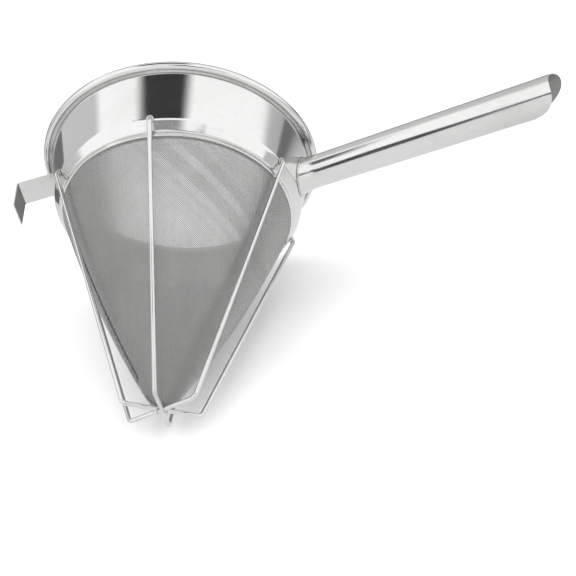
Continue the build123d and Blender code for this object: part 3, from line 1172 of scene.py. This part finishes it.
    def room_brightness(self, bench: NodeBench, way: Socket) -> Socket:
        """Works out how bright the steel mirrors each direction of the room.

        Args:
            bench: the world's bench.
            way: the direction looked in.

        Returns:
            A strength: pale overhead, greyer on the left, low down, far off and in the right
            corner, and dark about the camera.
        """
        across = self.along(bench, way, self.side_way)
        ahead = self.along(bench, way, self.floor_ahead())
        turned = bench.sum_of("MULTIPLY", ahead, self.left_turn)
        leftwards = bench.sum_of("SUBTRACT", turned, across)
        left = bench.spread(leftwards, *self.left_fade)
        sides = bench.sum_of("MULTIPLY", left, self.pale - self.left_grey)
        base = bench.sum_of("SUBTRACT", self.pale, sides)
        beside = bench.spread(bench.sum_of("ABSOLUTE", across), *self.middle_sides)
        middle = bench.sum_of("SUBTRACT", 1.0, beside)
        far = bench.sum_of("MULTIPLY", middle, bench.spread(ahead, *self.far_fade))
        base = self.dimmed(bench, base, far, self.far_share)
        height = self.along(bench, way, self.floor_up)
        low = bench.sum_of("SUBTRACT", 1.0, bench.spread(height, *self.low_fade))
        base = self.dimmed(bench, base, bench.sum_of("MULTIPLY", middle, low), self.low_share)
        right = bench.spread(across, *self.middle_sides)
        corner = bench.sum_of("MULTIPLY", right, bench.spread(ahead, *self.corner_fade))
        base = self.dimmed(bench, base, corner, self.corner_share)
        towards = self.along(bench, way, self.dark_way.normalized())
        dark = bench.spread(towards, math.cos(self.dark_angles[1]), math.cos(self.dark_angles[0]))
        return self.dimmed(bench, base, dark, self.dark_share)

    def dimmed(self, bench: NodeBench, base: Socket, mask: Socket, share: float) -> Socket:
        """Takes away a share of a brightness where a mask is 1.

        Args:
            bench: the bench of the world.
            base: the brightness.
            mask: the mask.
            share: the share taken away.

        Returns:
            The dimmed brightness.
        """
        kept = bench.sum_of("SUBTRACT", 1.0, bench.sum_of("MULTIPLY", mask, share))
        return bench.sum_of("MULTIPLY", base, kept)

    def floor_ahead(self) -> Vector:
        """Gives the level direction that leads away from the camera."""
        return self.side_way.cross(self.floor_up) * -1.0

    def make_card(self, card: Card) -> None:
        """Hangs a dark card over the strainer, which only the steel's mirror image shows.

        Args:
            card: its place, its softness and how dark it is.
        """
        shape = bmesh.new()
        level = self.floor_up * self.card_height
        (left, right), (near, far) = card.sides, card.depths
        spots = [
            level + self.side_way * across + self.floor_ahead() * ahead
            for across, ahead in ((left, near), (right, near), (right, far), (left, far))
        ]
        bmesh.ops.contextual_create(shape, geom=[shape.verts.new(spot) for spot in spots])
        mesh = bpy.data.meshes.new(card.name)
        shape.to_mesh(mesh)
        shape.free()
        holder = bpy.data.objects.new(card.name, mesh)
        bpy.context.scene.collection.objects.link(holder)
        holder.data.materials.append(self.card_material(card))
        holder.visible_camera = False
        holder.visible_diffuse = False
        holder.visible_shadow = False
        holder.visible_transmission = False
        holder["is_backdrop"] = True

    def card_material(self, card: Card) -> bpy.types.Material:
        """Makes a card's nearly black material, which fades out at its sides.

        Args:
            card: the card.

        Returns:
            The material.
        """
        made = bpy.data.materials.new(card.name)
        made.use_nodes = True
        made.node_tree.nodes.clear()
        bench = NodeBench(made.node_tree)
        place = bench.add("ShaderNodeTexCoord").outputs["Object"]
        across = self.along(bench, place, self.side_way)
        left, right = card.sides
        from_left = bench.spread(across, left, left + card.softness)
        leftwards = bench.sum_of("MULTIPLY", across, -1.0)
        from_right = bench.spread(leftwards, -right, card.softness - right)
        both = bench.sum_of("MULTIPLY", from_left, from_right)
        cover = bench.sum_of("MULTIPLY", both, card.share)
        dim = bench.add("ShaderNodeEmission")
        dim.inputs["Strength"].default_value = self.card_glow
        clear = bench.add("ShaderNodeBsdfTransparent")
        mixed = bench.shaders(cover, clear.outputs["BSDF"], dim.outputs["Emission"])
        leave = bench.add("ShaderNodeOutputMaterial")
        bench.join(mixed, leave.inputs["Surface"])
        return made

    def along(self, bench: NodeBench, way: Socket, axis: Vector) -> Socket:
        """Measures a direction or a place along an axis.

        Args:
            bench: the bench of a material or of the world.
            way: the direction or the place.
            axis: the axis, of length 1.

        Returns:
            How far it goes along the axis.
        """
        return bench.vector("DOT_PRODUCT", way, axis).outputs["Value"]

    def make_light(self, name: str, towards: Vector) -> None:
        """Hangs one soft square light that faces the strainer.

        Args:
            name: the light's name.
            towards: the direction from the strainer to the light.
        """
        low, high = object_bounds()
        middle = (low + high) / 2
        lamp = bpy.data.lights.new(name, "AREA")
        lamp.shape = "SQUARE"
        lamp.size = self.light_size
        lamp.energy = self.light_power
        holder = bpy.data.objects.new(name, lamp)
        holder.location = middle + towards.normalized() * self.light_distance
        holder.rotation_mode = "QUATERNION"
        holder.rotation_quaternion = towards.to_track_quat("Z", "Y")
        holder.visible_camera = False
        holder.visible_glossy = False
        bpy.context.scene.collection.objects.link(holder)

    def make_camera(self) -> None:
        """Sets the camera at the photograph's viewing angle."""
        data = bpy.data.cameras.new("camera")
        data.sensor_width = self.sensor
        data.lens = self.lens
        data.clip_start = self.clip_start
        data.clip_end = self.clip_end
        right = self.camera_down.cross(self.camera_ahead)
        up = -self.camera_down
        back = -self.camera_ahead
        turn = Matrix((right, up, back)).transposed().to_4x4()
        camera = bpy.data.objects.new("camera", data)
        camera.matrix_world = Matrix.Translation(self.camera_place) @ turn
        bpy.context.scene.collection.objects.link(camera)
        bpy.context.scene.camera = camera

    def build(self) -> None:
        """Builds the floor, the room, the cards, the lights and the camera."""
        self.make_floor()
        self.make_surroundings()
        for card in CARDS:
            self.make_card(card)
        overhead = self.floor_up * self.light_rise
        self.make_light("left soft box", overhead - self.side_way)
        self.make_light("right soft box", overhead + self.side_way)
        self.make_camera()
        bpy.context.scene.view_settings.view_transform = "Standard"


def main() -> None:
    """Builds the dressed strainer and its studio in order."""
    logging.basicConfig(level=logging.INFO)
    shop = FinishShop()
    SteelParts(shop).dress_all()
    WovenCone(shop, ConeProfile()).build()
    Studio().build()


if __name__ == "__main__":
    main()
